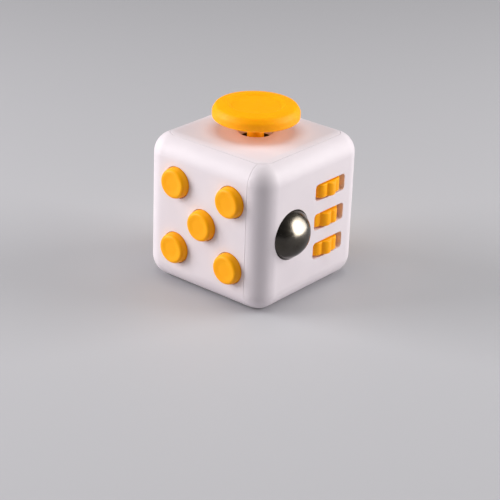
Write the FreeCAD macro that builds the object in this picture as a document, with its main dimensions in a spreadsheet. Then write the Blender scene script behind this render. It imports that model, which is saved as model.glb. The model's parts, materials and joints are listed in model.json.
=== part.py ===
import FreeCAD, Part
import math
import os

import Sketcher
from FreeCAD import Placement, Rotation, Vector

# Fidget cube: a hand toy with a different control on each face. Millimetres, +Z up.
# The origin is the centre of the base. -Y push buttons, +X rolling ball and gear wheels,
# +Z joystick, -Z thumb dish, +Y spin dial, -X flip rocker.

DIMENSIONS = {
    # Shell: a rounded cube of even wall, split into a housing and three panels.
    "cube": 33.0,
    "round_edge": 4.7,
    "wall": 1.8,
    "seam": 0.08,
    "panel_half": 11.8,
    "panel_reach": 13.3,
    "lid_half": 13.55,
    "lid_corner": 2.5,
    "dish_reach": 10.0,
    "dish_depth": 2.2,
    "dish_skin": 1.6,
    "hook_thick": 1.0,
    "hook_tall": 1.6,
    # Push buttons.
    "button_mid": 0.1,
    "button_level": 16.45,
    "button_pitch": 7.47,
    "button_reach": 3.38,
    "button_straight": 1.9,
    "button_taper": 0.3,
    "button_hole": 3.53,
    "button_proud": 1.8,
    "button_round": 0.7,
    "flange_reach": 3.95,
    "flange_thick": 0.7,
    "plate_face": 12.2,
    "plate_thick": 0.8,
    "plate_edge": 11.6,
    "click_screw_spread": 8.9,
    "dome_reach": 2.6,
    # Rolling ball.
    "ball_side": 7.1,
    "ball_level": 16.4,
    "ball_reach": 5.75,
    "ball_centre": 14.2,
    "ball_hole": 5.5,
    "ball_seat": 5.85,
    "sleeve_bore": 5.95,
    "sleeve_reach": 6.6,
    "cup_reach": 5.65,
    "cup_back": 6.9,
    "cup_front": 11.0,
    "sleeve_back": 5.0,
    "sleeve_front": 13.9,
    "sleeve_screw_spread": 8.2,
    "ear_half_wide": 1.4,
    "ear_half_tall": 9.6,
    # Gear wheels.
    "gear_side": 5.3,
    "gear_deep": 12.3,
    "gear_reach": 5.2,
    "gear_thick": 3.05,
    "gear_level": 16.6,
    "gear_pitch": 6.7,
    "gear_lobes": 10,
    "notch_reach": 0.75,
    "slot_length": 9.9,
    "slot_tall": 3.8,
    "slot_corner": 0.8,
    "gear_bracket_back": 5.0,
    "gear_bracket_edge": 12.3,
    "gear_screw_side": 11.6,
    "gear_screw_spread": 3.6,
    "gear_spring_peak": 7.0,
    "spacer_reach": 1.7,
    "axle_reach": 0.8,
    "running_gap": 0.05,
    "bracket_thick": 0.8,
    # Joystick.
    "pivot_level": 28.6,
    "lid_hole": 3.8,
    "stem_reach": 1.8,
    "cap_reach": 9.35,
    "cap_under": 35.1,
    "cap_low": 35.85,
    "cap_top": 39.3,
    "cap_dish": 6.1,
    "stem_top": 36.4,
    "pin_reach": 0.5,
    "hub_reach": 2.4,
    "ring_bore": 3.4,
    "ring_reach": 5.0,
    "ring_tall": 1.8,
    "holder_bore": 5.6,
    "holder_reach": 7.2,
    "foot_reach": 2.6,
    "spring_bore": 2.25,
    "spring_reach": 3.0,
    "spring_thick": 0.14,
    "spring_washer_tall": 0.5,
    # Spin dial.
    "dial_reach": 9.6,
    "dial_proud": 2.0,
    "dial_recess": 1.0,
    "dial_gap": 0.4,
    "dial_shaft": 2.0,
    "dial_foot": 13.25,
    "dial_round": 0.6,
    "detent_reach": 5.2,
    "detents": 12,
    "dimple_offset": 5.6,
    "dimple_sphere": 6.0,
    "dimple_depth": 0.6,
    # Flip rocker.
    "flip_deep": 13.7,
    "flip_level": 16.5,
    "flip_half_wide": 4.25,
    "flip_half_tall": 7.0,
    "flip_face": 4.45,
    "flip_angle": 11.0,
    "flip_back": 1.3,
    "flip_fold": 0.7,
    "flip_web": 1.6,
    "flip_skin": 1.2,
    "flip_bracket_face": 10.4,
    "flip_screw_spread": 10.1,
    "flip_gap_wide": 0.25,
    "flip_gap_tall": 1.0,
    # Small screws.
    "screw_reach": 0.5,
    "screw_head": 1.0,
    "screw_head_tall": 0.7,
    "screw_gap": 0.05,
}

# How far each gear wheel stands turned, from the top one down, in degrees.
WHEEL_TURNS = (19.0, 3.0, 12.5)

TURNS = {
    "z": Rotation(),
    "-z": Rotation(Vector(1, 0, 0), 180),
    "x": Rotation(Vector(0, 1, 0), 90),
    "-x": Rotation(Vector(0, 1, 0), -90),
    "y": Rotation(Vector(1, 0, 0), -90),
    "-y": Rotation(Vector(1, 0, 0), 90),
}


class Size:
    """A number that carries the spreadsheet formula it comes from."""

    def __init__(self, value, formula):
        self.value = value
        self.formula = formula

    def joined(self, other, sign, value):
        return Size(value, f"({self.formula} {sign} {size(other).formula})")

    def __add__(self, other):
        return self.joined(other, "+", self.value + size(other).value)

    def __sub__(self, other):
        return self.joined(other, "-", self.value - size(other).value)

    def __mul__(self, other):
        return self.joined(other, "*", self.value * size(other).value)

    def __truediv__(self, other):
        return self.joined(other, "/", self.value / size(other).value)

    def __radd__(self, other):
        return size(other) + self

    def __rsub__(self, other):
        return size(other) - self

    def __rmul__(self, other):
        return size(other) * self

    def __neg__(self):
        return self * -1


def size(number):
    """Any plain number as a Size."""
    return number if isinstance(number, Size) else Size(float(number), f"{float(number):.6f}")


class Sheet:
    """The driving dimensions, as Sizes bound to the cells of the document's spreadsheet."""

    def __init__(self, document, dimensions):
        cells = document.addObject("Spreadsheet::Sheet", "dims")
        for row, (name, value) in enumerate(dimensions.items(), start=1):
            cells.set(f"A{row}", name)
            cells.set(f"B{row}", str(value))
            cells.setAlias(f"B{row}", name)
            setattr(self, name, Size(value, f"dims.{name}"))


doc = FreeCAD.newDocument("fidget_cube")
d = Sheet(doc, DIMENSIONS)
doc.recompute()
half = d.cube / 2
inside = half - d.wall
ceiling = d.cube - d.wall
nodes = []


# Helpers: each makes one document object whose sizes are bound to the sheet.

def bind(thing, name, number):
    setattr(thing, name, size(number).value)
    thing.setExpression(name, size(number).formula)


def place(thing, at, turn=Rotation()):
    """Put an object at a point, with the point's coordinates bound to the sheet."""
    thing.Placement = Placement(Vector(*(size(part).value for part in at)), turn)
    for letter, part in zip("xyz", at):
        thing.setExpression(f"Placement.Base.{letter}", size(part).formula)
    return thing


def box(name, corner, opposite):
    """A block between two opposite corners, given in any order."""
    pairs = [sorted((size(a), size(b)), key=lambda part: part.value) for a, b in zip(corner, opposite)]
    block = doc.addObject("Part::Box", name)
    for side, (low, high) in zip(("Length", "Width", "Height"), pairs):
        bind(block, side, high - low)
    return place(block, [low for low, high in pairs])


def rod(name, reach, start, length, axis="z"):
    """A cylinder of radius reach from a start point along an axis."""
    cylinder = doc.addObject("Part::Cylinder", name)
    bind(cylinder, "Radius", reach)
    bind(cylinder, "Height", length)
    return place(cylinder, start, TURNS[axis])


def globe(name, reach, centre):
    sphere = doc.addObject("Part::Sphere", name)
    bind(sphere, "Radius", reach)
    return place(sphere, centre)


def join(name, parts):
    fused = doc.addObject("Part::MultiFuse", name)
    fused.Shapes = parts
    return fused


def cut(name, base, tools):
    taken = doc.addObject("Part::Cut", name)
    taken.Base = base
    taken.Tool = tools[0] if len(tools) == 1 else join(f"{name}_tools", tools)
    return taken


def common(name, parts):
    shared = doc.addObject("Part::MultiCommon", name)
    shared.Shapes = parts
    return shared


def group(name, solids):
    """Separate solids kept together in one node."""
    bundle = doc.addObject("Part::Compound", name)
    bundle.Links = solids
    return bundle


def rounded(name, block, reach, axes="xyz"):
    """A block with its edges along the named axes rounded."""
    doc.recompute()
    along = {"x": Vector(1, 0, 0), "y": Vector(0, 1, 0), "z": Vector(0, 0, 1)}
    edges = [
        (number, reach.value, reach.value)
        for number, edge in enumerate(block.Shape.Edges, start=1)
        if any(abs(edge.tangentAt(edge.FirstParameter).dot(along[axis])) > 0.99 for axis in axes)
    ]
    fillet = doc.addObject("Part::Fillet", name)
    fillet.Base = block
    fillet.Edges = edges
    return fillet


def sketch_on(body, name, role):
    """A sketch attached to one of its own body's origin planes."""
    sketch = body.newObject("Sketcher::SketchObject", name)
    plane = next(item for item in body.Origin.OriginFeatures if item.Role == role)
    sketch.AttachmentSupport = [(plane, "")]
    sketch.MapMode = "FlatFace"
    return sketch


def outline(sketch, points):
    """A closed run of lines through points whose coordinates are bound to the sheet."""
    corners = [(size(across), size(up)) for across, up in points]
    vectors = [Vector(across.value, up.value, 0) for across, up in corners]
    count = len(vectors)
    for place_no in range(count):
        sketch.addGeometry(Part.LineSegment(vectors[place_no], vectors[(place_no + 1) % count]))
    for place_no in range(count):
        sketch.addConstraint(Sketcher.Constraint("Coincident", place_no, 2, (place_no + 1) % count, 1))
    for place_no, corner in enumerate(corners):
        for kind, part in zip(("DistanceX", "DistanceY"), corner):
            index = sketch.addConstraint(Sketcher.Constraint(kind, -1, 1, place_no, 1, part.value))
            sketch.setExpression(f"Constraints[{index}]", part.formula)


def circle(sketch, reach, across=0.0):
    """A circle on the sketch's first axis, with its radius and place bound to the sheet."""
    centre = Vector(size(across).value, 0, 0)
    sketch.addGeometry(Part.Circle(centre, Vector(0, 0, 1), size(reach).value))
    for kind, arguments, part in (
        ("Radius", (0,), size(reach)),
        ("DistanceX", (-1, 1, 0, 3), size(across)),
        ("DistanceY", (-1, 1, 0, 3), size(0)),
    ):
        index = sketch.addConstraint(Sketcher.Constraint(kind, *arguments, part.value))
        sketch.setExpression(f"Constraints[{index}]", part.formula)


def turned(name, profile, at=(0, 0, 0), axis="z"):
    """A turned piece: (radius, height) points swept about its axis."""
    body = doc.addObject("PartDesign::Body", name)
    sketch = sketch_on(body, f"{name}_profile", "XZ_Plane")
    outline(sketch, profile)
    sweep = body.newObject("PartDesign::Revolution", f"{name}_turn")
    sweep.Profile = sketch
    sweep.ReferenceAxis = (sketch, ["V_Axis"])
    sweep.Angle = 360
    return place(body, at, TURNS[axis])


def padded(name, points, thickness, at, axis):
    """A flat piece: an outline in the plane across the axis, with a thickness along it."""
    body = doc.addObject("PartDesign::Body", name)
    sketch = sketch_on(body, f"{name}_outline", "XY_Plane")
    outline(sketch, points)
    pad = body.newObject("PartDesign::Pad", f"{name}_pad")
    pad.Profile = sketch
    bind(pad, "Length", thickness)
    return place(body, at, axis)


def notched_wheel(name, reach, thickness, bore, notch, notch_offset, count):
    """A wheel about Z with a bore and rounded notches round its rim."""
    body = doc.addObject("PartDesign::Body", name)
    rim = sketch_on(body, f"{name}_rim", "XY_Plane")
    circle(rim, reach)
    disc = body.newObject("PartDesign::Pad", f"{name}_disc")
    disc.Profile = rim
    bind(disc, "Length", thickness)
    holes = []
    for kind, hole_reach, offset in (("bore", bore, 0), ("notch", notch, reach + notch_offset)):
        sketch = sketch_on(body, f"{name}_{kind}_circle", "XY_Plane")
        circle(sketch, hole_reach, offset)
        pocket = body.newObject("PartDesign::Pocket", f"{name}_{kind}")
        pocket.Profile = sketch
        pocket.Type = "ThroughAll"
        pocket.Midplane = True
        holes.append(pocket)
    doc.recompute()
    ring = body.newObject("PartDesign::PolarPattern", f"{name}_notches")
    ring.Originals = [holes[-1]]
    ring.Axis = (rim, ["N_Axis"])
    ring.Angle = 360
    ring.Occurrences = int(count.value)
    body.Tip = ring
    return body


def node(thing, label=None):
    """List an object as a sub-part of the assembly."""
    thing.Label = label or thing.Name
    nodes.append(thing)
    return thing


def screw(name, at, axis, shank):
    """A pan-head screw: its head starts at the point, its shank runs on along the axis."""
    head = d.screw_head_tall
    solid = turned(name, [
        (0, 0), (d.screw_head * 0.7, 0), (d.screw_head, head * 0.45), (d.screw_head, head),
        (d.screw_reach, head), (d.screw_reach, head + shank), (0, head + shank),
    ], at, axis)
    return solid


def screws(label, places, axis, shank):
    return node(group(label, [
        screw(f"{label}_{number}", at, axis, shank) for number, at in enumerate(places, start=1)
    ]))


# Shell.

def shell_pieces():
    """The hollow rounded cube and the regions that the panels take out of it."""
    outer = rounded("cube_outside", box("cube_block", (-half, -half, 0), (half, half, d.cube)), d.round_edge)
    block = box("hollow_block", (-inside, -inside, d.wall), (inside, inside, ceiling))
    hollow = rounded("hollow", block, d.round_edge - d.wall)
    return cut("cube_shell", outer, [hollow])


def panel_region(name, side, gap):
    """The part of the cube that a front or rear panel takes, with the upright edge on its left.

    gap trims it at the seams.
    """
    near = side * (d.panel_reach + gap)
    far = side * (half + 1)
    return join(name, [
        box(f"{name}_face", (-half - 1, near, -1), (d.panel_half - gap, far, d.cube + 1)),
        box(f"{name}_edge", (-half - 1, side * (d.panel_half + gap), -1),
            (-d.panel_half - gap, far, d.cube + 1)),
    ])


def lid_region(name, gap):
    """The rounded square column that the top panel takes."""
    reach = d.lid_half - gap
    column = box(f"{name}_column", (-reach, -reach, ceiling - 1.2), (reach, reach, d.cube + 1))
    return rounded(name, column, d.lid_corner - gap, "z")


def panel_hooks(name, side):
    """Snap hooks: two behind the housing's corner post, two behind its left wall."""
    root = inside + 0.2
    near = inside - 0.5
    back = near - d.hook_thick
    right = d.panel_half - 1.2
    left = d.panel_half + 0.8
    hooks = []
    for number, low in enumerate((4.7, 26.7), start=1):
        top = low + d.hook_tall
        hooks += [
            box(f"{name}_right_stem_{number}", (right, side * root, low), (right + 1.1, side * back, top)),
            box(f"{name}_right_hook_{number}", (right, side * near, low), (right + 2.6, side * back, top)),
            box(f"{name}_left_stem_{number}", (-root, side * left, low), (-back, side * (left - 0.65), top)),
            box(f"{name}_left_hook_{number}", (-near, side * left, low), (-back, side * (left - 2.4), top)),
        ]
    return hooks


def lid_hooks():
    """Snap hooks of the top panel, which reach under the housing's top edges."""
    hooks = []
    for number, (way, side) in enumerate(((-1, -1), (-1, 1), (1, -1), (1, 1)), start=1):
        near = side * 6.5
        far = side * 9.0
        hooks.append(box(f"lid_stem_{number}", (way * 12.2, near, 29.0), (way * 13.0, far, ceiling)))
        hooks.append(box(f"lid_hook_{number}", (way * 12.2, near, 29.0), (way * 14.0, far, 29.7)))
    return hooks


def build_housing(shell, lid):
    """Base, left and right walls and the four corner posts, in one moulding."""
    regions = [panel_region("front_region", -1, 0), panel_region("rear_region", 1, 0), lid]
    walls = cut("housing_walls", shell, regions)
    curve = (d.dish_reach * d.dish_reach + d.dish_depth * d.dish_depth) / (d.dish_depth * 2)
    dish_centre = (0, 0, d.dish_depth - curve)
    bulge = common("dish_bulge", [
        globe("dish_bulge_globe", curve + d.dish_skin, dish_centre),
        box("dish_bulge_block", (-half, -half, d.wall / 2), (half, half, 6)),
    ])
    bosses = [rod(f"sleeve_boss_{number}", d.ear_half_wide, at, 2.4, "x")
              for number, at in enumerate(sleeve_screw_places(13.0), start=1)]
    solid = join("housing_solid", [walls, bulge] + bosses)
    slots = []
    for number, level in enumerate(gear_levels(), start=1):
        low = level - d.slot_tall / 2
        block = box(f"gear_slot_block_{number}",
                    (inside - 0.5, d.gear_side - d.slot_length / 2, low),
                    (half + 0.5, d.gear_side + d.slot_length / 2, low + d.slot_tall))
        slots.append(rounded(f"gear_slot_{number}", block, d.slot_corner, "x"))
    tall = d.flip_half_tall + d.flip_gap_tall
    wide = d.flip_half_wide + d.flip_gap_wide
    window = box("flip_window_block", (-half - 1, -wide, d.flip_level - tall),
                 (-inside + 1, wide, d.flip_level + tall))
    tools = slots + [
        globe("dish_globe", curve, dish_centre),
        rod("ball_opening", d.ball_hole, (inside, -d.ball_side, d.ball_level), d.wall + 1, "x"),
        globe("ball_opening_seat", d.ball_seat, (d.ball_centre, -d.ball_side, d.ball_level)),
        rounded("flip_window", window, d.slot_corner, "x"),
    ]
    hole = d.screw_reach + d.screw_gap
    for number, at in enumerate(sleeve_screw_places(12.0), start=1):
        tools.append(rod(f"sleeve_screw_hole_{number}", hole, at, 3.4, "x"))
    for number, at in enumerate(bracket_screw_places(13.9), start=1):
        tools.append(rod(f"bracket_screw_hole_{number}", hole, at, 2.0, "x"))
    for number, at in enumerate(flip_screw_places(-13.9), start=1):
        tools.append(rod(f"flip_screw_hole_{number}", hole, at, 2.0, "-x"))
    node(cut("housing", solid, tools))


def build_front(shell, lid):
    """Front panel with the five button holes and the posts that carry the back plate."""
    skin = common("click_panel_skin", [shell, panel_region("front_keep", -1, d.seam)])
    posts = [rod(f"click_post_{number}", 1.4, (x, -inside - 0.3, z), inside + 0.3 - d.plate_face, "y")
             for number, (x, z) in enumerate(click_screw_places(), start=1)]
    solid = join("click_panel_solid", [skin] + posts + panel_hooks("click_panel", -1))
    tools = [lid]
    for number, (x, z) in enumerate(button_places(), start=1):
        tools.append(rod(f"button_opening_{number}", d.button_hole, (x, -half - 1, z), d.wall + 1.5, "y"))
    hole = d.screw_reach + d.screw_gap
    for number, (x, z) in enumerate(click_screw_places(), start=1):
        tools.append(rod(f"click_post_hole_{number}", hole, (x, -d.plate_face - 2.4, z), 3.0, "y"))
    node(cut("click_panel", solid, tools))


def build_rear(shell, lid):
    """Rear panel with the dial's recess, its shaft hole and the posts of the click spring."""
    skin = common("rear_panel_skin", [shell, panel_region("rear_keep", 1, d.seam)])
    posts = [box(f"dial_post_{number}", (way * 4.7, inside + 0.2, 20.9), (way * 6.2, 13.2, 22.6))
             for number, way in enumerate((-1, 1), start=1)]
    solid = join("rear_panel_solid", [skin] + posts + panel_hooks("rear_panel", 1))
    slit = box("dial_spring_slit", (-5.6, 13.0, 21.9), (5.6, inside - 0.2, 22.15))
    node(cut("rear_panel", solid, [
        lid,
        slit,
        rod("dial_recess_disc", d.dial_reach + d.dial_gap, (0, half - d.dial_recess, half), 3, "y"),
        rod("dial_shaft_hole", d.dial_shaft + 0.1, (0, inside - 1, half), 3, "y"),
    ]))


def build_lid(shell):
    """Top panel with the joystick's hole and its snap hooks."""
    skin = common("top_panel_skin", [shell, lid_region("lid_keep", d.seam)])
    solid = join("top_panel_solid", [skin] + lid_hooks())
    tools = [rod("lid_opening", d.lid_hole, (0, 0, ceiling - 1), 4)]
    hole = d.screw_reach + d.screw_gap
    for number, at in enumerate(holder_screw_places(ceiling - 0.2), start=1):
        tools.append(rod(f"lid_screw_hole_{number}", hole, at, 1.3))
    node(cut("top_panel", solid, tools))


# Push buttons.

def button_places():
    """Centres of the five buttons, four at the corners of a square and one in its middle."""
    near = d.button_mid - d.button_pitch
    far = d.button_mid + d.button_pitch
    low = d.button_level - d.button_pitch
    high = d.button_level + d.button_pitch
    return [(near, high), (far, high), (d.button_mid, d.button_level), (near, low), (far, low)]


def click_screw_places():
    spread = d.click_screw_spread
    return [(d.button_mid, half + spread), (d.button_mid, half - spread), (-8.0, d.button_level)]


def build_buttons():
    """Caps with a hidden flange, and the silicone domes that push them back."""
    flange_face = inside - 0.05
    tip = d.flange_thick + half + d.button_proud - flange_face
    shoulder = d.button_reach - d.button_taper
    for number, (x, z) in enumerate(button_places(), start=1):
        node(turned(f"click_button_{number}", [
            (0, 0), (d.flange_reach, 0), (d.flange_reach, d.flange_thick),
            (d.button_reach, d.flange_thick), (d.button_reach, d.flange_thick + d.button_straight),
            (shoulder, tip - d.button_round), (shoulder - d.button_round * 0.3, tip - d.button_round * 0.3),
            (shoulder - d.button_round, tip), (0, tip),
        ], (x, d.flange_thick - flange_face, z), "-y"))
        node(turned(f"button_dome_{number}", [
            (2.1, 0), (d.dome_reach, 0), (d.dome_reach, 0.3), (1.5, 1.68), (0, 1.68), (0, 1.2), (1.1, 1.2),
            (2.1, 0.3),
        ], (x, -d.plate_face, z), "-y"))


def build_click_plate():
    """Plate that backs the domes, its screws, and the snap discs of the clicking buttons."""
    edge = d.plate_edge
    plate = box("click_plate_block", (-edge, -d.plate_face, 5.2),
                (edge, d.plate_thick - d.plate_face, 28.0))
    notch = box("click_plate_notch", (4.6, -13, 11.1), (12, -11, 21.7))
    tools = [notch]
    for number, (x, z) in enumerate(click_screw_places(), start=1):
        tools.append(rod(f"click_plate_hole_{number}", d.screw_reach + d.screw_gap, (x, -13, z), 2, "y"))
    node(cut("click_backplate", plate, tools))
    back = d.plate_thick - d.plate_face
    places = [(x, back + d.screw_head_tall, z) for x, z in click_screw_places()]
    screws("click_plate_screws", places, "-y", 2.6)
    clicking = [button_places()[index] for index in (0, 2, 4)]
    discs = []
    for number, (x, z) in enumerate(clicking, start=1):
        discs.append(turned(f"snap_disc_{number}", [
            (1.9, 0.02), (2.0, 0.02), (2.0, 0.14), (1.0, 0.5), (0, 0.6), (0, 0.48), (1.0, 0.38),
        ], (x, -d.plate_face, z), "-y"))
    node(group("snap_discs", discs))


# Rolling ball.

def sleeve_screw_places(deep):
    return [(deep, -d.ball_side, d.ball_level + way * d.sleeve_screw_spread) for way in (-1, 1)]


def build_ball():
    """Steel ball in a sprung cup, which slides in a sleeve screwed to the right wall."""
    axis_y = -d.ball_side
    node(globe("roll_ball", d.ball_reach, (d.ball_centre, axis_y, d.ball_level)))
    blank = rod("ball_cup_blank", d.cup_reach, (d.cup_back, axis_y, d.ball_level),
                d.cup_front - d.cup_back, "x")
    seat = globe("ball_cup_seat", d.ball_seat, (d.ball_centre, axis_y, d.ball_level))
    node(cut("ball_cup", blank, [seat]))
    node(turned("ball_spring", [
        (4.4, 0), (4.7, 0), (4.7, 0.2), (1.4, 1.0), (0, 1.0), (0, 0.8), (1.3, 0.8),
    ], (5.85, axis_y, d.ball_level), "x"))
    tube = rod("ball_sleeve_tube", d.sleeve_reach, (d.sleeve_back, axis_y, d.ball_level),
               d.sleeve_front - d.sleeve_back, "x")
    wide = d.ear_half_wide
    tall = d.ear_half_tall
    ears = box("ball_sleeve_ears", (12.0, axis_y - wide, d.ball_level - tall),
               (13.0, axis_y + wide, d.ball_level + tall))
    tools = [rod("ball_sleeve_bore", d.sleeve_bore, (5.8, axis_y, d.ball_level), 12, "x")]
    for number, at in enumerate(sleeve_screw_places(11.0), start=1):
        tools.append(rod(f"ball_sleeve_hole_{number}", d.screw_reach + d.screw_gap, at, 3, "x"))
    node(cut("ball_sleeve", join("ball_sleeve_solid", [tube, ears]), tools))
    screws("ball_sleeve_screws", sleeve_screw_places(12.0 - d.screw_head_tall), "x", 3.0)


# Gear wheels.

def gear_levels():
    return [d.gear_level + d.gear_pitch * step for step in (1, 0, -1)]


def bracket_screw_places(deep):
    return [(deep, d.gear_screw_side, d.gear_level + way * d.gear_screw_spread) for way in (-1, 1)]


def build_gears():
    """Three notched wheels on one steel axle, with the spacers between them."""
    for number, (level, phase) in enumerate(zip(gear_levels(), WHEEL_TURNS), start=1):
        wheel = notched_wheel(
            f"gear_wheel_{number}", d.gear_reach, d.gear_thick, d.axle_reach + d.running_gap,
            d.notch_reach, 0.15, d.gear_lobes)
        turn = Rotation(Vector(0, 0, 1), phase)
        node(place(wheel, (d.gear_deep, d.gear_side, level - d.gear_thick / 2), turn))
    node(rod("gear_axle", d.axle_reach, (d.gear_deep, d.gear_side, 6.8), 19.4))
    spacers = []
    gap = 0.1
    tall = d.gear_pitch - d.gear_thick - gap * 2
    for number, level in enumerate(gear_levels()[1:], start=1):
        low = level + d.gear_thick / 2 + gap
        spacers.append(turned(f"gear_spacer_{number}", [
            (d.axle_reach, 0), (d.spacer_reach, 0), (d.spacer_reach, tall), (d.axle_reach, tall),
        ], (d.gear_deep, d.gear_side, low)))
    node(group("gear_spacers", spacers))


def build_gear_bracket():
    """Folded bracket with two ears for the axle, its screws and the wheels' click springs."""
    back = d.gear_bracket_back
    thick = d.bracket_thick
    edge = d.gear_bracket_edge
    spine = box("gear_spine", (back, 1.2, 7.15), (back + thick, edge, 25.85))
    ears = [box(f"gear_ear_{number}", (back, 3.2, low), (14.0, 7.7, low + 0.7))
            for number, low in enumerate((7.15, 25.15), start=1)]
    arm = box("gear_arm", (back, edge - thick, 14.4), (13.9, edge, 18.8))
    foot = box("gear_foot", (13.85, 10.9, 11.6), (14.65, edge, 21.6))
    tools = [rod("gear_ear_bore", d.axle_reach, (d.gear_deep, d.gear_side, 5), 24)]
    for number, at in enumerate(bracket_screw_places(13.0), start=1):
        tools.append(rod(f"gear_foot_hole_{number}", d.screw_reach + d.screw_gap, at, 2.5, "x"))
    node(cut("gear_bracket", join("gear_bracket_solid", [spine, arm, foot] + ears), tools))
    screws("gear_bracket_screws", bracket_screw_places(13.85 - d.screw_head_tall), "x", 1.9)
    near = back + thick
    peak = d.gear_spring_peak
    for number, level in enumerate(gear_levels(), start=1):
        node(padded(f"gear_click_spring_{number}", [
            (near, 2.4), (near + 0.2, 2.4), (peak, d.gear_side), (near + 0.2, 8.5), (near, 8.5),
            (near, 8.2), (peak - 0.3, d.gear_side), (near, 2.7),
        ], 1.6, (0, 0, level - 0.8), TURNS["z"]))


# Joystick.

def holder_screw_places(level):
    angles = (90, 150, 210, 270)
    ring = (d.holder_bore + d.holder_reach) / 2
    return [(ring * math.cos(math.radians(angle)), ring * math.sin(math.radians(angle)), level)
            for angle in angles]


def build_joystick():
    """Cap, stem and cross pin: the part of the joystick that the thumb moves."""
    pivot = d.pivot_level
    node(turned("joystick_cap", [
        (d.stem_reach, d.cap_under), (3.4, d.cap_under), (d.cap_reach - 1.1, d.cap_low),
        (d.cap_reach - 0.45, d.cap_low + 0.2), (d.cap_reach - 0.1, d.cap_low + 0.6),
        (d.cap_reach, d.cap_low + 1.0), (d.cap_reach, d.cap_low + 1.6), (d.cap_reach - 0.15, d.cap_low + 2.1),
        (d.cap_reach - 0.6, d.cap_low + 2.7), (d.cap_reach - 1.2, d.cap_top - 0.2),
        (d.cap_reach - 2.0, d.cap_top), (d.cap_dish, d.cap_top), (d.cap_dish - 0.6, d.cap_top - 0.25),
        (d.cap_dish - 1.3, d.cap_top - 0.4), (0, d.cap_top - 0.45), (0, d.stem_top),
        (d.stem_reach, d.stem_top),
    ]))
    stem = turned("joystick_stem_turned", [
        (0, pivot - 1.7), (d.foot_reach, pivot - 1.7), (d.foot_reach, pivot - 1.3),
        (d.hub_reach, pivot - 1.1), (d.hub_reach, pivot + 1.1), (d.stem_reach, pivot + 1.5),
        (d.stem_reach, d.stem_top), (0, d.stem_top),
    ])
    node(cut("joystick_stem", stem, [rod("stem_pin_hole", d.pin_reach, (0, -6, pivot), 12, "y")]))
    node(rod("stem_pin", d.pin_reach, (0, -4.6, pivot), 9.2, "y"))


def build_gimbal():
    """Ring between stem and holder, with its two pins, and the holder under the top panel."""
    pivot = d.pivot_level
    low = pivot - d.ring_tall / 2
    ring = turned("gimbal_ring_turned", [
        (d.ring_bore, low), (d.ring_reach, low), (d.ring_reach, low + d.ring_tall),
        (d.ring_bore, low + d.ring_tall),
    ])
    hole = d.pin_reach + d.running_gap
    node(cut("gimbal_ring", ring, [
        rod("ring_stem_bore", hole, (0, -6, pivot), 12, "y"),
        rod("ring_pin_bore", d.pin_reach, (-6, 0, pivot), 12, "x"),
    ]))
    node(group("gimbal_pins", [
        rod("gimbal_pin_1", d.pin_reach, (3.9, 0, pivot), 3.0, "x"),
        rod("gimbal_pin_2", d.pin_reach, (-3.9, 0, pivot), 3.0, "-x"),
    ]))
    holder = turned("joystick_holder_turned", [
        (d.holder_bore, 26.6), (d.holder_reach, 26.6), (d.holder_reach, ceiling), (d.holder_bore, ceiling),
    ])
    tools = [rod("holder_pin_bore", hole, (-8, 0, pivot), 16, "x")]
    for number, at in enumerate(holder_screw_places(26), start=1):
        tools.append(rod(f"holder_screw_hole_{number}", d.screw_reach + d.screw_gap, at, 6))
    node(cut("joystick_holder", holder, tools))


def build_centring():
    """Disc on coned spring washers under the stem's foot, which bring the joystick back upright."""
    node(turned("centring_disc", [
        (0, 26.2), (1.9, 26.2), (1.9, 25.6), (2.1, 25.6), (2.1, 26.2), (3.0, 26.2), (3.0, 26.85), (0, 26.85),
    ]))
    tall = d.spring_washer_tall
    thick = d.spring_thick
    washers = []
    for step in range(4):
        base = 24.05 + step * (tall + 0.02)
        outer, inner = (0, tall - thick) if step % 2 else (tall - thick, 0)
        washers.append(turned(f"centring_washer_{step + 1}", [
            (d.spring_bore, base + inner), (d.spring_reach, base + outer),
            (d.spring_reach, base + outer + thick), (d.spring_bore, base + inner + thick),
        ]))
    node(group("centring_spring", washers))
    cup = turned("spring_retainer_turned", [
        (0, 23.2), (3.9, 23.2), (3.9, 26.1), (d.holder_reach, 26.1), (d.holder_reach, 26.6), (3.2, 26.6),
        (3.2, 24.0), (0, 24.0),
    ])
    holes = [rod(f"retainer_hole_{number}", d.screw_reach + d.screw_gap, at, 3)
             for number, at in enumerate(holder_screw_places(25), start=1)]
    node(cut("spring_retainer", cup, holes))
    screws("holder_screws", holder_screw_places(26.1 - d.screw_head_tall), "z", 6.0)


# Spin dial.

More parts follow.
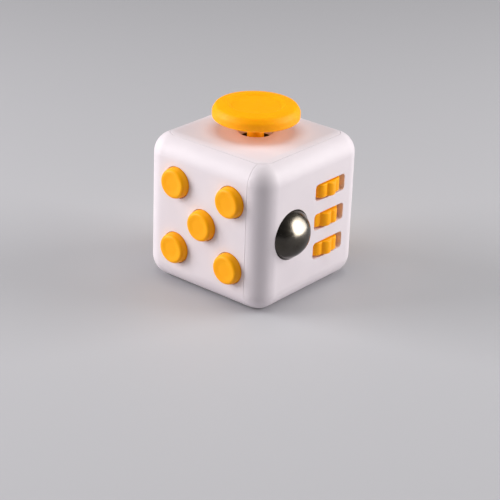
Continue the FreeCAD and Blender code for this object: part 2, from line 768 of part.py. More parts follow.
def build_dial():
    """Dial on a shaft through the rear panel, with a click wheel held on by a screw."""
    floor = half - d.dial_recess + 0.2
    face = half + d.dial_proud
    rim = d.dial_round
    foot = d.dial_foot
    blank = turned("spin_dial_turned", [
        (0, foot), (d.dial_shaft, foot), (d.dial_shaft, floor), (d.dial_reach, floor),
        (d.dial_reach, face - rim), (d.dial_reach - rim * 0.3, face - rim * 0.3), (d.dial_reach - rim, face),
        (0, face),
    ], (0, 0, half), "y")
    dimple = globe("dial_dimple", d.dimple_sphere,
                   (0, face + d.dimple_sphere - d.dimple_depth, half + d.dimple_offset))
    hole = rod("dial_screw_hole", d.screw_reach + 0.2, (0, foot - 0.25, half), 4, "y")
    node(cut("spin_dial", blank, [dimple, hole]))
    hub = notched_wheel("dial_click_wheel", d.detent_reach, 1.15, d.dial_shaft, size(0.5), 0.1, d.detents)
    node(place(hub, (0, foot + 0.05, half), Rotation(Vector(1, 0, 0), -90)))
    under = foot - 0.4
    node(turned("dial_washer", [
        (d.screw_reach + 0.2, under), (3.0, under), (3.0, foot - 0.05), (d.screw_reach + 0.2, foot - 0.05),
    ], (0, 0, half), "y"))
    node(turned("dial_screw", [
        (0, under - 0.85), (1.3, under - 0.85), (1.7, under - 0.55), (1.7, under),
        (d.screw_reach + 0.15, under), (d.screw_reach + 0.15, foot + 3.35), (0, foot + 3.35),
    ], (0, 0, half), "y"))
    node(padded("dial_click_spring", [
        (-5.5, 21.93), (-1.2, 21.93), (0, 21.78), (1.2, 21.93), (5.5, 21.93), (5.5, 22.12), (1.1, 22.12),
        (0, 21.97), (-1.1, 22.12), (-5.5, 22.12),
    ], 1.0, (0, 14.4, 0), TURNS["-y"]))


# Flip rocker.

def flip_screw_places(deep):
    return [(deep, 0, d.flip_level + way * d.flip_screw_spread) for way in (-1, 1)]


def build_rocker():
    """Hollow rocker with a centre web, stored with its upper end pressed in."""
    wide = d.flip_half_wide
    tall = d.flip_half_tall
    face = -d.flip_face
    back = d.flip_back
    block = padded("flip_rocker_block", [
        (back, -tall), (back, tall), (face, tall), (face + d.flip_fold, 0), (face, -tall),
    ], wide * 2, (0, wide, 0), TURNS["-y"])
    inner = wide - d.flip_skin
    floor = face + d.flip_skin + d.flip_fold
    tools = [
        box(f"flip_pocket_{number}", (floor, -inner, way * d.flip_web),
            (back + 0.7, inner, way * (tall - d.flip_skin)))
        for number, way in enumerate((-1, 1), start=1)
    ]
    tools.append(rod("flip_bore", d.axle_reach + d.running_gap, (0, -wide - 1, 0), wide * 2 + 2, "y"))
    nub = rod("flip_nub", 0.6, (back, -2.0, 0), 4.0, "y")
    rocker = cut("flip_rocker", join("flip_rocker_solid", [block, nub]), tools)
    node(place(rocker, (-d.flip_deep, 0, d.flip_level), Rotation(Vector(0, 1, 0), d.flip_angle.value)))


def build_rocker_frame():
    """Bracket, pin, leaf spring and screws behind the rocker."""
    back = -d.flip_bracket_face
    pivot = -d.flip_deep
    side = 4.8
    level = d.flip_level
    plate = box("flip_plate", (back, -5.7, level - 8.9), (back + 0.8, 5.7, level + 8.9))
    parts = [plate]
    for number, way in enumerate((-1, 1), start=1):
        parts.append(box(f"flip_ear_{number}", (pivot - 0.95, way * side, level - 2.0),
                         (back, way * 5.7, level + 2.0)))
        near = level + way * 8.2
        parts.append(box(f"flip_link_{number}", (-13.9, -2.5, near), (back + 0.8, 2.5, level + way * 8.9)))
        parts.append(box(f"flip_foot_{number}", (-14.65, -2.5, near), (-13.9, 2.5, level + way * 11.0)))
    tools = [rod("flip_ear_bore", d.axle_reach, (pivot, -7, level), 14, "y")]
    for number, at in enumerate(flip_screw_places(-13.0), start=1):
        tools.append(rod(f"flip_foot_hole_{number}", d.screw_reach + d.screw_gap, at, 2.5, "-x"))
    node(cut("rocker_bracket", join("rocker_bracket_solid", parts), tools))
    node(rod("rocker_pin", d.axle_reach, (pivot, -5.9, level), 11.8, "y"))
    crest = back - 1.0
    node(padded("rocker_leaf_spring", [
        (back, -6.0), (back - 0.2, -6.0), (crest, -1.2), (crest - 0.22, 0), (crest, 1.2), (back - 0.2, 6.0),
        (back, 6.0), (crest + 0.2, 1.1), (crest, 0), (crest + 0.2, -1.1),
    ], 3.0, (0, 1.5, level), TURNS["-y"]))
    places = flip_screw_places(-13.9 + d.screw_head_tall)
    screws("rocker_screws", places, "-x", 1.8)


def build_all():
    shell = shell_pieces()
    lid = lid_region("lid_gap", 0)
    build_housing(shell, lid)
    build_front(shell, lid)
    build_rear(shell, lid)
    build_lid(shell)
    build_buttons()
    build_click_plate()
    build_ball()
    build_gears()
    build_gear_bracket()
    build_joystick()
    build_gimbal()
    build_centring()
    build_dial()
    build_rocker()
    build_rocker_frame()


def check_and_write():
    """Refuse a failed object or a bad shape, then write one file per sub-part."""
    doc.recompute()
    for thing in doc.Objects:
        if "Invalid" in thing.State or "Error" in thing.State:
            raise RuntimeError(f"{thing.Name} failed: {thing.State}")
    for part in nodes:
        if part.Shape.isNull() or not part.Shape.isValid() or not part.Shape.Solids:
            raise RuntimeError(f"{part.Label} has a bad shape")
    os.makedirs("parts", exist_ok=True)
    for part in nodes:
        part.Shape.exportStep(f"parts/{part.Label}.step")
        print(f"{part.Label}: {len(part.Shape.Solids)} solid(s), {part.Shape.Volume:.2f} mm3")


build_all()
check_and_write()
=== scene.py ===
import json
import math

import bmesh
import bpy
from mathutils import Matrix, Vector

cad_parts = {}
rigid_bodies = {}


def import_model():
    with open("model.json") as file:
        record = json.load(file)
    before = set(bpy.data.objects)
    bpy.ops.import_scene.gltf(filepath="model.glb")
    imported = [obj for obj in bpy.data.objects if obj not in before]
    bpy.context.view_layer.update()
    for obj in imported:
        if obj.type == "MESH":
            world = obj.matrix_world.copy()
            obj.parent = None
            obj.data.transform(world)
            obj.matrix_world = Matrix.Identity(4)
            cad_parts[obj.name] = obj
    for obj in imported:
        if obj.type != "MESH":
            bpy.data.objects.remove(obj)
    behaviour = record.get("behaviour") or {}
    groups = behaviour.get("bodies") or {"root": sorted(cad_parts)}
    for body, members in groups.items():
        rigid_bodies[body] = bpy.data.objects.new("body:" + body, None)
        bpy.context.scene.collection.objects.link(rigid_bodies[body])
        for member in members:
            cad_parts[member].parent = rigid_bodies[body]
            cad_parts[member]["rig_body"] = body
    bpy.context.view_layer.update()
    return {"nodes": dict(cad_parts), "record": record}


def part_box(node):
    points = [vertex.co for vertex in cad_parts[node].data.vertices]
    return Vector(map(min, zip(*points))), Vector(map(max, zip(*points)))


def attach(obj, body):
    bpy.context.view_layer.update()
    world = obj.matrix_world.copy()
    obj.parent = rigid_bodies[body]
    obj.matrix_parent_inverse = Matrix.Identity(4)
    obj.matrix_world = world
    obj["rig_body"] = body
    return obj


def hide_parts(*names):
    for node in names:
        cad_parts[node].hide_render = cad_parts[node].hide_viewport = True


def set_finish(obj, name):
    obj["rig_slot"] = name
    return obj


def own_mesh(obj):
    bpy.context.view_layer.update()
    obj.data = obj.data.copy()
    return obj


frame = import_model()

MM = 0.001
joints = {joint["name"]: joint for joint in frame["record"]["behaviour"]["joints"]}


# Camera: a turn about the cube, then a small aim. Angles are in degrees, lens and sensor in mm.

CUBE = 33.0 * MM
CUBE_MIDDLE = Vector((0, 0, CUBE / 2))
AZIMUTH, ELEVATION, DISTANCE = 39.2, 23.3, 373.8 * MM
AIM_DOWN, AIM_LEFT, AIM_ROLL = 1.572, 0.039, 2.12
LENS, SENSOR = 124.9, 36.0
NEAREST = 0.01


def make_camera():
    turn, rise = math.radians(AZIMUTH), math.radians(ELEVATION)
    level = math.cos(rise)
    back = Vector((math.sin(turn) * level, -math.cos(turn) * level, math.sin(rise)))
    look = (-back).to_track_quat("-Z", "Y").to_matrix()
    look = Matrix.Rotation(-math.radians(AIM_DOWN), 3, look.col[0]) @ look
    look = Matrix.Rotation(math.radians(AIM_LEFT), 3, look.col[1]) @ look
    look = Matrix.Rotation(-math.radians(AIM_ROLL), 3, -look.col[2]) @ look
    data = bpy.data.cameras.new("camera")
    data.lens = LENS
    data.sensor_width = SENSOR
    data.clip_start = NEAREST
    camera = bpy.data.objects.new("camera", data)
    bpy.context.scene.collection.objects.link(camera)
    camera.matrix_world = Matrix.Translation(CUBE_MIDDLE + back * DISTANCE) @ look.to_4x4()
    bpy.context.scene.camera = camera


# Studio: soft area lights, a grey surround and a pale floor.

SOFTBOX_DISTANCE = 0.45
TOP_DISTANCE = 0.5
SURROUND, SURROUND_STRENGTH = (1.0, 0.97, 0.98, 1), 0.10
FLOOR_HALF_SIDE = 3.0
FLOOR_COLOUR, FLOOR_ROUGHNESS = (0.50, 0.50, 0.52, 1), 0.6


def softbox(name, direction, distance, size, power, colour=(1, 1, 1), shape="RECTANGLE",
            glossy=True, diffuse=True):
    """An area light that faces the cube's centre from a direction."""
    data = bpy.data.lights.new(name, "AREA")
    data.shape = shape
    data.size, data.size_y = size
    data.energy = power
    data.color = colour
    light = bpy.data.objects.new(name, data)
    bpy.context.scene.collection.objects.link(light)
    way = Vector(direction).normalized()
    light.location = CUBE_MIDDLE + way * distance
    light.rotation_euler = (-way).to_track_quat("-Z", "Y").to_euler()
    light.visible_glossy = glossy
    light.visible_diffuse = diffuse
    return light


def make_surround():
    bpy.context.scene.view_settings.view_transform = "Standard"
    world = bpy.data.worlds.new("studio")
    bpy.context.scene.world = world
    world.use_nodes = True
    background = world.node_tree.nodes["Background"]
    background.inputs["Color"].default_value = SURROUND
    background.inputs["Strength"].default_value = SURROUND_STRENGTH


def make_softboxes():
    left_tint, right_tint = (1.0, 0.975, 0.985), (1.0, 0.98, 0.98)
    softbox("left_softbox", (-0.80, -0.66, 0.34), SOFTBOX_DISTANCE, (0.30, 0.32), 2.3, left_tint)
    softbox("right_softbox", (0.70, 0.68, 0.34), SOFTBOX_DISTANCE, (0.30, 0.34), 2.0, right_tint)
    softbox("top_softbox", (0.05, -0.05, 1.0), TOP_DISTANCE, (0.40, 0.40), 1.25, glossy=False)


def make_floor():
    edge = FLOOR_HALF_SIDE
    corners = [(-edge, -edge, 0), (edge, -edge, 0), (edge, edge, 0), (-edge, edge, 0)]
    mesh = bpy.data.meshes.new("floor")
    mesh.from_pydata(corners, [], [(0, 1, 2, 3)])
    floor = bpy.data.objects.new("floor", mesh)
    bpy.context.scene.collection.objects.link(floor)
    material = bpy.data.materials.new("floor_paper")
    material.use_nodes = True
    shader = material.node_tree.nodes["Principled BSDF"]
    shader.inputs["Base Color"].default_value = FLOOR_COLOUR
    shader.inputs["Roughness"].default_value = FLOOR_ROUGHNESS
    mesh.materials.append(material)


make_camera()
make_surround()
make_softboxes()
make_floor()


# Materials: object-space noise drives colour, roughness and bump.

NOISE_LOW, NOISE_HIGH = 0.3, 0.7


class Nodes:
    """A material's node tree, with short calls for the nodes used here."""

    def __init__(self, name):
        self.material = bpy.data.materials.new(name)
        self.material.use_nodes = True
        self.tree = self.material.node_tree
        self.shader = self.tree.nodes["Principled BSDF"]
        self.place = self.tree.nodes.new("ShaderNodeTexCoord").outputs["Object"]

    def link(self, output, target):
        self.tree.links.new(output, target)

    def noise(self, size, detail, stretch=(1, 1, 1)):
        """Noise whose features are about size metres across."""
        mapping = self.tree.nodes.new("ShaderNodeMapping")
        mapping.inputs["Scale"].default_value = [part / size for part in stretch]
        self.link(self.place, mapping.inputs["Vector"])
        noise = self.tree.nodes.new("ShaderNodeTexNoise")
        noise.inputs["Scale"].default_value = 1.0
        noise.inputs["Detail"].default_value = detail
        self.link(mapping.outputs["Vector"], noise.inputs["Vector"])
        return noise.outputs["Fac"]

    def spread(self, value, low, high):
        """The middle of a noise's range turned into the range low to high."""
        span = self.tree.nodes.new("ShaderNodeMapRange")
        span.inputs["From Min"].default_value = NOISE_LOW
        span.inputs["From Max"].default_value = NOISE_HIGH
        span.inputs["To Min"].default_value = low
        span.inputs["To Max"].default_value = high
        self.link(value, span.inputs["Value"])
        return span.outputs["Result"]

    def colours(self, value, low, high):
        ramp = self.tree.nodes.new("ShaderNodeValToRGB")
        ends = ramp.color_ramp.elements
        ends[0].position, ends[0].color = NOISE_LOW, (*low, 1)
        ends[1].position, ends[1].color = NOISE_HIGH, (*high, 1)
        self.link(value, ramp.inputs["Fac"])
        self.link(ramp.outputs["Color"], self.shader.inputs["Base Color"])

    def bump(self, layers):
        """Bump from (height value, metres) pairs, one on top of another."""
        normal = None
        for value, height in layers:
            bump = self.tree.nodes.new("ShaderNodeBump")
            bump.inputs["Strength"].default_value = 1.0
            bump.inputs["Distance"].default_value = height
            self.link(value, bump.inputs["Height"])
            if normal is not None:
                self.link(normal, bump.inputs["Normal"])
            normal = bump.outputs["Normal"]
        self.link(normal, self.shader.inputs["Normal"])

    def rough(self, value, low, high):
        self.link(self.spread(value, low, high), self.shader.inputs["Roughness"])


def plastic(name, colour, tint, low, high, grain=0.0008 * MM, shine=0.4, glow=0.0, depth=1.5 * MM,
            painted_glow=0.0, painted_glow_colour=(0, 0, 0)):
    """Moulded plastic: faint flow clouds, fine mould grain, and soft uneven gloss.

    glow and depth let light through; the last two arguments set the strength and colour of a painted
    glow, an emission that brightens the part's shade though the plastic is no lamp.
    """
    nodes = Nodes(name)
    nodes.colours(nodes.noise(9 * MM, 2), colour, tint)
    nodes.rough(nodes.noise(1.6 * MM, 5), low, high)
    nodes.bump([(nodes.noise(6 * MM, 1), 0.006 * MM), (nodes.noise(0.25 * MM, 2), grain)])
    inputs = nodes.shader.inputs
    inputs["IOR"].default_value = 1.5
    inputs["Specular IOR Level"].default_value = shine
    if glow:
        inputs["Subsurface Weight"].default_value = glow
        inputs["Subsurface Radius"].default_value = (1.0, 0.30, 0.06)
        inputs["Subsurface Scale"].default_value = depth
    # Painted glow: an emission that lifts the shade on the part, though the plastic is no lamp.
    if painted_glow:
        inputs["Emission Color"].default_value = (*painted_glow_colour, 1)
        inputs["Emission Strength"].default_value = painted_glow
    return nodes.material


def polished_steel(name, colour, dark):
    """Ball-bearing steel: mirror polish with faint swirls and a few fine scuffs."""
    nodes = Nodes(name)
    nodes.colours(nodes.noise(2.5 * MM, 4), dark, colour)
    nodes.shader.inputs["Metallic"].default_value = 1.0
    nodes.rough(nodes.noise(1.2 * MM, 6, (1, 1, 3)), 0.20, 0.28)
    nodes.bump([(nodes.noise(0.5 * MM, 4, (1, 4, 1)), 0.0006 * MM)])
    return nodes.material


def brushed_steel(name, colour, dark, stretch, low, high):
    """Sheet, wire or turned steel with its lines along one direction."""
    nodes = Nodes(name)
    nodes.colours(nodes.noise(1.5 * MM, 4, stretch), dark, colour)
    nodes.shader.inputs["Metallic"].default_value = 1.0
    nodes.rough(nodes.noise(0.6 * MM, 5, stretch), low, high)
    nodes.bump([(nodes.noise(0.2 * MM, 4, stretch), 0.003 * MM)])
    return nodes.material


ORANGE = (1.0, 0.44, 0.002)
ORANGE_DEEP = (1.0, 0.405, 0.001)
# Red-orange of the painted glow that reddens the shaded sides of the small orange controls.
PAINTED_GLOW_RED = (1.0, 0.24, 0.0)
CAP_ORANGE = (1.0, 0.395, 0.002)
CAP_DEEP = (1.0, 0.365, 0.001)
WHITE = (0.80, 0.735, 0.765)
WHITE_COOL = (0.77, 0.705, 0.74)

STEEL, STEEL_DARK = (0.082, 0.075, 0.066), (0.060, 0.054, 0.046)
ZINC, ZINC_DARK = (0.60, 0.61, 0.62), (0.45, 0.46, 0.48)
SPRING, SPRING_DARK = (0.70, 0.68, 0.63), (0.50, 0.48, 0.44)
PIN, PIN_DARK = (0.62, 0.62, 0.62), (0.42, 0.42, 0.43)
SILICONE, SILICONE_DARK = (0.62, 0.61, 0.58), (0.55, 0.54, 0.52)
BLACK, BLACK_DARK = (0.028, 0.028, 0.03), (0.018, 0.018, 0.02)


def orange(name, low, high, painted_glow=0.06):
    """The orange plastic of the small controls, with a little light let through and a faint red painted
    glow in its shade.
    """
    return plastic(name, ORANGE, ORANGE_DEEP, low, high, shine=0.2, glow=0.12, depth=0.6 * MM,
                   painted_glow=painted_glow, painted_glow_colour=PAINTED_GLOW_RED)


MATERIALS = {
    "shell_plastic": plastic("white_abs", WHITE, WHITE_COOL, 0.46, 0.56),
    "button_plastic": orange("orange_button", 0.40, 0.50),
    # The wheels get a stronger painted glow, which brightens them all over.
    "wheel_plastic": orange("orange_wheel", 0.34, 0.44, painted_glow=0.10),
    # The cap gets the strongest painted glow, in its deeper orange, which brightens its shaded underside.
    "cap_plastic": plastic("orange_cap", CAP_ORANGE, CAP_DEEP, 0.46, 0.56,
                           shine=0.2, glow=0.25, depth=3.0 * MM, painted_glow=0.18, painted_glow_colour=CAP_DEEP),
    "dial_plastic": orange("orange_dial", 0.38, 0.48),
    "rocker_plastic": orange("orange_rocker", 0.34, 0.44),
    "silicone": plastic("pale_silicone", SILICONE, SILICONE_DARK, 0.45, 0.60, grain=0.004 * MM, glow=0.3),
    "inner_plastic": plastic("black_acetal", BLACK, BLACK_DARK, 0.35, 0.50, grain=0.003 * MM),
    "ball_steel": polished_steel("bearing_steel", STEEL, STEEL_DARK),
    "bracket_steel": brushed_steel("zinc_sheet", ZINC, ZINC_DARK, (1, 1, 8), 0.3, 0.55),
    "spring_steel": brushed_steel("spring_steel", SPRING, SPRING_DARK, (6, 1, 1), 0.22, 0.45),
    "pin_steel": brushed_steel("turned_steel", PIN, PIN_DARK, (1, 6, 1), 0.18, 0.38),
}


def dress(thing, slot):
    """Give a mesh one material on every face and record its slot."""
    thing.data.materials.clear()
    thing.data.materials.append(MATERIALS[slot])
    thing.data.polygons.foreach_set("material_index", [0] * len(thing.data.polygons))
    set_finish(thing, slot)


def smooth(mesh, angle=35):
    """Smooth shading that keeps edges sharper than an angle."""
    mesh.polygons.foreach_set("use_smooth", [True] * len(mesh.polygons))
    mesh.set_sharp_from_angle(angle=math.radians(angle))


def dress_cad_nodes():
    for entry in frame["record"]["subparts"]:
        thing = frame["nodes"][entry["node"]]
        dress(thing, entry["material_slot"])
        smooth(thing.data)


dress_cad_nodes()


# Mesh building.

AXES = {
    "x": (Vector((0, 1, 0)), Vector((0, 0, 1)), Vector((1, 0, 0))),
    "y": (Vector((0, 0, 1)), Vector((1, 0, 0)), Vector((0, 1, 0))),
    "z": (Vector((1, 0, 0)), Vector((0, 1, 0)), Vector((0, 0, 1))),
    "-y": (Vector((1, 0, 0)), Vector((0, 0, 1)), Vector((0, -1, 0))),
}


def centre(node):
    low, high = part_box(node)
    return (low + high) / 2


def add_piece(name, verts, faces, body, nodes, slot):
    """A new mesh that stands for CAD nodes, rides on a body and takes a slot's material."""
    mesh = bpy.data.meshes.new(name)
    mesh.from_pydata([tuple(vert) for vert in verts], [], faces)
    build = bmesh.new()
    build.from_mesh(mesh)
    bmesh.ops.remove_doubles(build, verts=build.verts, dist=1e-7)
    bmesh.ops.recalc_face_normals(build, faces=build.faces)
    build.to_mesh(mesh)
    build.free()
    thing = bpy.data.objects.new(name, mesh)
    bpy.context.scene.collection.objects.link(thing)
    finish_piece(thing, body, nodes, slot)
    return thing


def apply_modifiers(thing):
    """Make a piece's mesh what its modifiers show, and drop them."""
    bpy.context.view_layer.update()
    graph = bpy.context.evaluated_depsgraph_get()
    mesh = bpy.data.meshes.new_from_object(thing.evaluated_get(graph))
    thing.modifiers.clear()
    thing.data = mesh


def finish_piece(thing, body, nodes, slot):
    smooth(thing.data)
    dress(thing, slot)
    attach(thing, body)
    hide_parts(*nodes)


def eased(points, steps=6):
    """A line of (across, along, radius) points, with each corner rounded to its radius."""
    line = []
    for number, (across, along, reach) in enumerate(points):
        corner = Vector((across, along))
        if reach == 0:
            line.append(corner)
            continue
        before = Vector(points[number - 1][:2]) - corner
        after = Vector(points[(number + 1) % len(points)][:2]) - corner
        cut = reach / math.tan(before.angle(after) / 2)
        cut = min(cut, before.length * 0.49, after.length * 0.49)
        start = corner + before.normalized() * cut
        end = corner + after.normalized() * cut
        for step in range(steps + 1):
            part = step / steps
            line.append(start.lerp(corner, part).lerp(corner.lerp(end, part), part))
    return line


def turned(name, line, origin, axis, body, nodes, slot, segments=128):
    """A turned piece from a line that starts and ends on the axis, or closes on itself."""
    across, up, along = AXES[axis]
    verts, rings = [], []
    for reach, height in line:
        base = origin + along * height
        if reach < 1e-9:
            rings.append([len(verts)] * segments)
            verts.append(base)
            continue
        rings.append(list(range(len(verts), len(verts) + segments)))
        for step in range(segments):
            angle = 2 * math.pi * step / segments
            verts.append(base + (across * math.cos(angle) + up * math.sin(angle)) * reach)
    closed = line[0][0] > 1e-9
    pairs = list(zip(rings, rings[1:] + rings[:1])) if closed else list(zip(rings, rings[1:]))
    faces = []
    for low, high in pairs:
        for step in range(segments):
            after = (step + 1) % segments
            corners = [low[step], low[after], high[after], high[step]]
            unique = list(dict.fromkeys(corners))
            if len(unique) > 2:
                faces.append(unique)
    return add_piece(name, verts, faces, body, nodes, slot)


# Shell: the CAD walls with every edge eased.

SHELL_EASE = 0.10 * MM
TOP_EASE = 0.13 * MM
FLAT_WITHIN = 0.6


def eased_shell(node, width):
    """A copy of a CAD node's mesh with clean flat faces and a small round on every sharp edge."""
    source = frame["nodes"][node]
    thing = bpy.data.objects.new(f"{node}_moulding", source.data.copy())
    bpy.context.scene.collection.objects.link(thing)
    build = bmesh.new()
    build.from_mesh(thing.data)
    bmesh.ops.remove_doubles(build, verts=build.verts, dist=1e-7)
    flat = math.radians(FLAT_WITHIN)
    bmesh.ops.dissolve_limit(build, angle_limit=flat, verts=build.verts, edges=build.edges)
    build.to_mesh(thing.data)
    build.free()
    bevel = thing.modifiers.new("ease", "BEVEL")
    bevel.width = width
    bevel.segments = 3
    bevel.limit_method = "ANGLE"
    bevel.angle_limit = math.radians(40)
    bevel.use_clamp_overlap = True
    weigh = thing.modifiers.new("weigh", "WEIGHTED_NORMAL")
    weigh.keep_sharp = True
    apply_modifiers(thing)
    finish_piece(thing, source["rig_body"], [node], "shell_plastic")


for shell_node in ("housing", "click_panel", "rear_panel"):
    eased_shell(shell_node, SHELL_EASE)
eased_shell("top_panel", TOP_EASE)


# Push buttons: a faintly dished cap with a soft rim over its hidden flange.

BUTTON_REACH = 3.38 * MM
BUTTON_STRAIGHT = 1.9 * MM
BUTTON_TAPER = 0.25 * MM
BUTTON_ROUND = 0.85 * MM
BUTTON_RIM_DROP = 0.06 * MM
BUTTON_DISH = 0.22 * MM
BUTTON_DISH_REACH = 0.45 * BUTTON_REACH
BUTTON_DISH_ROUND = 1.6 * MM
FLANGE_THICK = 0.7 * MM
FLANGE_ROUND = 0.12 * MM


def make_button(number):
    node = f"click_button_{number}"
    low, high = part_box(node)
    flange = (high.x - low.x) / 2
    rim = high.y - low.y - BUTTON_RIM_DROP
    line = eased([
        (0, 0, 0),
        (flange, 0, FLANGE_ROUND),
        (flange, FLANGE_THICK, FLANGE_ROUND),
        (BUTTON_REACH, FLANGE_THICK, 0.1 * MM),
        (BUTTON_REACH, FLANGE_THICK + BUTTON_STRAIGHT, 1.2 * MM),
        (BUTTON_REACH - BUTTON_TAPER, rim, BUTTON_ROUND),
        (BUTTON_DISH_REACH, rim - BUTTON_DISH, BUTTON_DISH_ROUND),
        (0, rim - BUTTON_DISH, 0),
    ], 10)
    origin = Vector(((low.x + high.x) / 2, high.y, (low.z + high.z) / 2))
    turned(f"push_button_{number}", line, origin, "-y", node, [node], "button_plastic")


for button_number in range(1, 6):
    make_button(button_number)


# Joystick cap: dished top, soft rim and a coned underside.

CAP_STEM = 1.82 * MM
CAP_SOCKET = 1.3 * MM
DISH_FLOOR = 5.3 * MM
DISH_EDGE = 6.1 * MM


def make_cap():
    low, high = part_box("joystick_cap")
    reach = (high.x - low.x) / 2
    dish = [
        (0, high.z - 0.46 * MM, 0),
        (DISH_FLOOR, high.z - 0.44 * MM, 0.5 * MM),
        (DISH_EDGE, high.z, 0.4 * MM),
        (DISH_EDGE + 0.5 * MM, high.z, 0.6 * MM),
    ]
    rim = [
        (reach - 0.75 * MM, high.z - 0.35 * MM, 1.1 * MM),
        (reach, high.z - 1.5 * MM, 1.2 * MM),
        (reach, low.z + 1.1 * MM, 1.0 * MM),
        (reach - 0.8 * MM, low.z + 0.8 * MM, 0.5 * MM),
    ]
    under = [
        (3.4 * MM, low.z, 0.6 * MM),
        (CAP_STEM, low.z, 0.15 * MM),
        (CAP_STEM, low.z + CAP_SOCKET, 0),
        (0, low.z + CAP_SOCKET, 0),
    ]
    line = eased(dish + rim + under, 8)
    turned("joystick_pad", line, Vector((0, 0, 0)), "z", "joystick", ["joystick_cap"], "cap_plastic", 160)


make_cap()


# Rolling ball: a sphere of even square faces, with two cream reflectors of its own.

BALL_CUTS = 31
BALL_CLEARANCE = 0.002 * MM
CREAM = (1.0, 0.965, 0.90)


def make_ball():
    node = "roll_ball"
    low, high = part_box(node)
    middle = centre(node)
    reach = min(high - middle) - BALL_CLEARANCE
    build = bmesh.new()
    bmesh.ops.create_cube(build, size=2.0)
    bmesh.ops.subdivide_edges(build, edges=build.edges, cuts=BALL_CUTS, use_grid_fill=True)
    for vert in build.verts:
        bend = Vector([math.tan(part * math.pi / 4) for part in vert.co])
        vert.co = middle + bend.normalized() * reach
    mesh = bpy.data.meshes.new("steel_ball")
    build.to_mesh(mesh)
    build.free()
    thing = bpy.data.objects.new("steel_ball", mesh)
    bpy.context.scene.collection.objects.link(thing)
    finish_piece(thing, "ball", [node], "ball_steel")
    return thing


def light_ball(ball):
    """A bright and a faint round reflector that only the ball shows."""
    receivers = bpy.data.collections.new("ball_reflector_receivers")
    receivers.objects.link(ball)
    lights = [
        softbox("ball_bright", (0.93, 0.34, 0.46), SOFTBOX_DISTANCE, (0.42, 0.46), 8.0, CREAM,
                "ELLIPSE", diffuse=False),
        softbox("ball_faint", (0.82, 0.56, 0.20), SOFTBOX_DISTANCE, (0.70, 0.80), 12.0, CREAM,
                "ELLIPSE", diffuse=False),
    ]
    for light in lights:
        light.light_linking.receiver_collection = receivers


light_ball(make_ball())


# Gear wheels: ten round lobes with softened faces.

LOBES = 10
LOBE_ROUND = 1.6 * MM
VALLEY_FLOOR = 0.56 * MM
WHEEL_EASE = 0.3 * MM
WHEEL_PROUD = 1.0 * MM
STEPS_PER_LOBE = 20
EASE_STEPS = 5
AXLE_BORE = 0.85 * MM
NOTCH_TURNS = (19.0, 3.0, 12.5)


def lobe_reach(angle, reach):
    """Distance from the wheel's centre to its lobed rim, at an angle from a valley."""
    step = 2 * math.pi / LOBES
    off = angle % step - step / 2
    hub = reach - LOBE_ROUND
    round_rim = hub * math.cos(off) + math.sqrt(LOBE_ROUND ** 2 - (hub * math.sin(off)) ** 2)
    return max(round_rim, reach - VALLEY_FLOOR)


def make_wheel(number, notch_turn):
    node = f"gear_wheel_{number}"
    low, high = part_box(node)
    hub = Vector(joints[f"gear_spin_{number}"]["pos_m"])
    reach = CUBE / 2 + WHEEL_PROUD - hub.x
    count = LOBES * STEPS_PER_LOBE
    levels = []
    for step in range(EASE_STEPS + 1):
        lean = math.pi / 2 * step / EASE_STEPS
        levels.append((low.z + WHEEL_EASE * (1 - math.sin(lean)), WHEEL_EASE * (1 - math.cos(lean))))
    levels = levels[::-1] + [(low.z + high.z - level, inset) for level, inset in levels]
    levels = [(low.z, None)] + levels + [(high.z, None)]
    verts = []
    for level, inset in levels:
        for step in range(count):
            angle = 2 * math.pi * step / count
            far = AXLE_BORE if inset is None else lobe_reach(angle, reach) - inset
            turn = angle + math.radians(notch_turn)
            verts.append((hub.x + far * math.cos(turn), hub.y + far * math.sin(turn), level))
    faces = []
    for ring in range(len(levels)):
        here, above = ring * count, (ring + 1) % len(levels) * count
        for step in range(count):
            after = (step + 1) % count
            faces.append((here + step, here + after, above + after, above + step))
    add_piece(f"gear_roller_{number}", verts, faces, node, [node], "wheel_plastic")


for wheel_number, wheel_turn in enumerate(NOTCH_TURNS, start=1):
    make_wheel(wheel_number, wheel_turn)


# Spin dial: a thick disc with a soft rim and a thumb dimple off its centre.

DIAL_SHAFT = 2.0 * MM
DIAL_RIM = 0.7 * MM
DIAL_THICK = 2.8 * MM
DIAL_RINGS = 60
DIMPLE_OFFSET = 5.6 * MM
DIMPLE_REACH = 2.9 * MM
DIMPLE_DEPTH = 0.62 * MM


def make_dial():
    low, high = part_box("spin_dial")
    reach = (high.x - low.x) / 2
    middle = centre("spin_dial")
    back = high.y - DIAL_THICK
    line = eased([
        (0, low.y, 0),
        (DIAL_SHAFT, low.y, 0.15 * MM),
        (DIAL_SHAFT, back, 0.1 * MM),
        (reach, back, 0.3 * MM),
        (reach, high.y, DIAL_RIM),
        (0, high.y, 0),
    ])
    edge = line[-2].x
    face = [Vector((edge * (1 - step / DIAL_RINGS), high.y)) for step in range(1, DIAL_RINGS + 1)]
    origin = Vector((middle.x, 0, middle.z))
    dial = turned("thumb_dial", line[:-1] + face, origin, "y", "dial", ["spin_dial"], "dial_plastic", 160)
    hollow = Vector((middle.x, high.y, middle.z + DIMPLE_OFFSET))
    for vert in dial.data.vertices:
        far = (vert.co - hollow).length
        if vert.co.y > high.y - 0.01 * MM and far < DIMPLE_REACH:
            vert.co.y -= DIMPLE_DEPTH * (1 + math.cos(math.pi * far / DIMPLE_REACH)) / 2


make_dial()
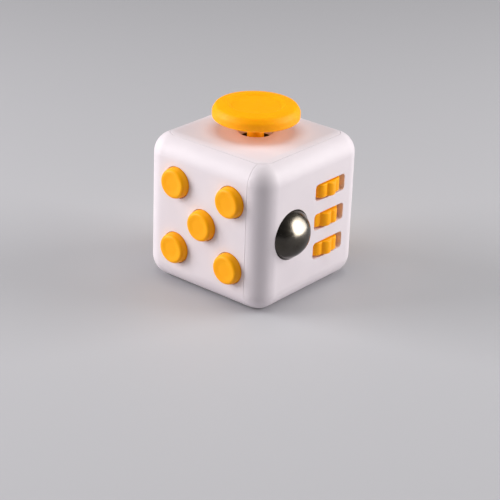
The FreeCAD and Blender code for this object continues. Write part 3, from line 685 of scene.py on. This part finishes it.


# Flip rocker: a key whose face folds in a soft valley over the pin.

ROCKER_FACE = 4.45 * MM
ROCKER_FOLD = 0.7 * MM
ROCKER_BACK = 1.3 * MM
ROCKER_HALF_TALL = 7.0 * MM
ROCKER_END_ROUND = 0.9 * MM
ROCKER_BACK_ROUND = 0.3 * MM
ROCKER_VALLEY_ROUND = 40 * MM
ROCKER_EASE = 0.45 * MM
ROCKER_EASE_ANGLE = 60


def soften(thing, width, angle):
    """Round a piece's sharp edges with real geometry."""
    bevel = thing.modifiers.new("ease", "BEVEL")
    bevel.width = width
    bevel.segments = 5
    bevel.limit_method = "ANGLE"
    bevel.angle_limit = math.radians(angle)
    apply_modifiers(thing)
    smooth(thing.data)


def make_rocker():
    joint = joints["rocker_flip"]
    pivot = Vector(joint["pos_m"])
    lean = math.radians(joint["range_deg"][1]) / 2
    low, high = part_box("flip_rocker")
    outline = eased([
        (ROCKER_BACK, -ROCKER_HALF_TALL, ROCKER_BACK_ROUND),
        (ROCKER_BACK, ROCKER_HALF_TALL, ROCKER_BACK_ROUND),
        (-ROCKER_FACE, ROCKER_HALF_TALL, ROCKER_END_ROUND),
        (ROCKER_FOLD - ROCKER_FACE, 0, ROCKER_VALLEY_ROUND),
        (-ROCKER_FACE, -ROCKER_HALF_TALL, ROCKER_END_ROUND),
    ], 10)
    turn = Matrix.Translation(pivot) @ Matrix.Rotation(lean, 4, "Y")
    verts = [turn @ Vector((across, side, up)) for side in (low.y, high.y) for across, up in outline]
    count = len(outline)
    faces = [tuple(range(count)), tuple(range(2 * count - 1, count - 1, -1))]
    for step in range(count):
        after = (step + 1) % count
        faces.append((step, after, count + after, count + step))
    rocker = add_piece("rocker_key", verts, faces, "rocker", ["flip_rocker"], "rocker_plastic")
    soften(rocker, ROCKER_EASE, ROCKER_EASE_ANGLE)


make_rocker()


# Springy parts: copies of the CAD domes and coil, each with a mesh of its own.

def springy(node, name):
    """A copy of a CAD node with its own mesh, riding on the node's body with the node's slot."""
    source = frame["nodes"][node]
    thing = bpy.data.objects.new(name, source.data.copy())
    bpy.context.scene.collection.objects.link(thing)
    finish_piece(thing, source["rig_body"], [node], source["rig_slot"])
    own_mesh(thing)


for dome_number in range(1, 6):
    springy(f"button_dome_{dome_number}", f"silicone_dome_{dome_number}")
springy("ball_spring", "click_coil")
